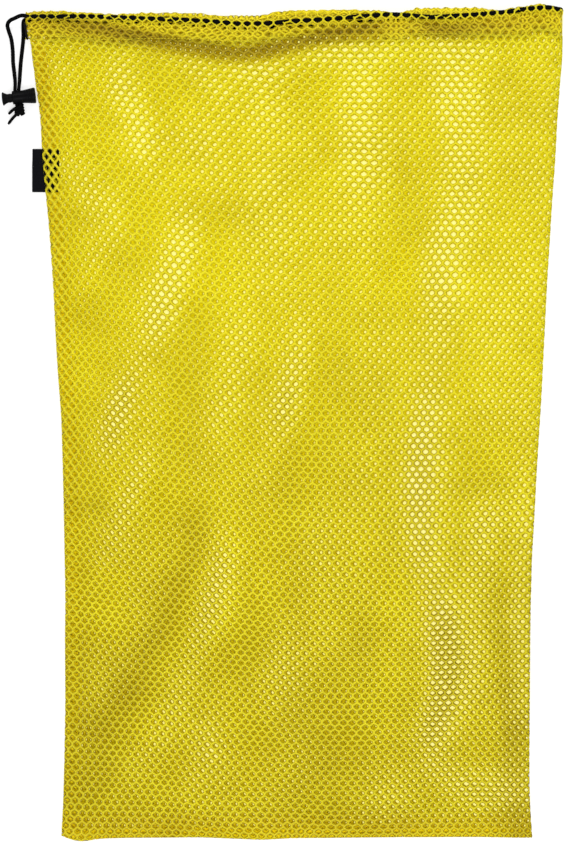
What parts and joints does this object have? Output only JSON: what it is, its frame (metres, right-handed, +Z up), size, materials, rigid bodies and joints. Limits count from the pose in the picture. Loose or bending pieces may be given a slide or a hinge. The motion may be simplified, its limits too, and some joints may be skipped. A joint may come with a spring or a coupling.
{
  "type": "mesh laundry bag",
  "caption": "Flat mesh laundry bag with a drawcord hem across its mouth, a barrel cord lock on the knotted cord ends and a seam label.",
  "frame": {"origin": "centre of the laid bag's footprint, on the plane that its back leaf lies on, without the free cord ends and the cord lock", "axes": "+Y from the bottom seam to the mouth, +X from the sewn edge to the folded edge, +Z up through the two leaves"},
  "size_m": [0.5088, 0.7574, 0.015],
  "materials": {
    "net": "open knitted polyester net, slight sheen",
    "hem_net": "folded knitted net",
    "seam_net": "doubled knitted net",
    "thread": "polyester sewing thread",
    "black_tape": "woven tape",
    "label_cloth": "bare woven label cloth",
    "cord": "braided polyester cord",
    "lock_body": "fine satin moulding",
    "lock_button": "fine satin moulding",
    "spring_wire": "drawn wire"
  },
  "bodies": {
    "bag": {"back_panel": "net", "front_panel": "net", "back_casing": "hem_net", "front_casing": "hem_net", "side_seam_allowance": "seam_net", "bottom_seam_allowance": "seam_net", "side_seam_thread": "thread", "bottom_seam_thread": "thread", "front_hem_stitching": "thread", "back_hem_stitching": "thread", "casing_end_tape": "black_tape", "label": "label_cloth", "drawcord_in_casing": "cord", "strand_left": "cord", "strand_right": "cord", "strand_left_lower": "cord", "strand_right_lower": "cord", "knot": "cord", "tail_upper": "cord", "tail_lower": "cord"},
    "cord_lock": {"lock_housing": "lock_body", "lock_spring": "spring_wire"},
    "plunger": {"lock_plunger": "lock_button"}
  },
  "joints": [
    {"name": "lock_slide", "type": "slide", "parent": "bag", "child": "cord_lock", "axis": [-0.1132, 0.9936, 0], "range_m": [0, 0.042], "deforming": ["strand_left", "strand_right", "strand_left_lower", "strand_right_lower"]},
    {"name": "plunger_press", "type": "slide", "parent": "cord_lock", "child": "plunger", "axis": [0.9936, 0.1132, 0], "range_m": [0, 0.004], "stiffness_N_per_m": 400, "springref_m": -0.004, "deforming": ["lock_spring"]}
  ]
}
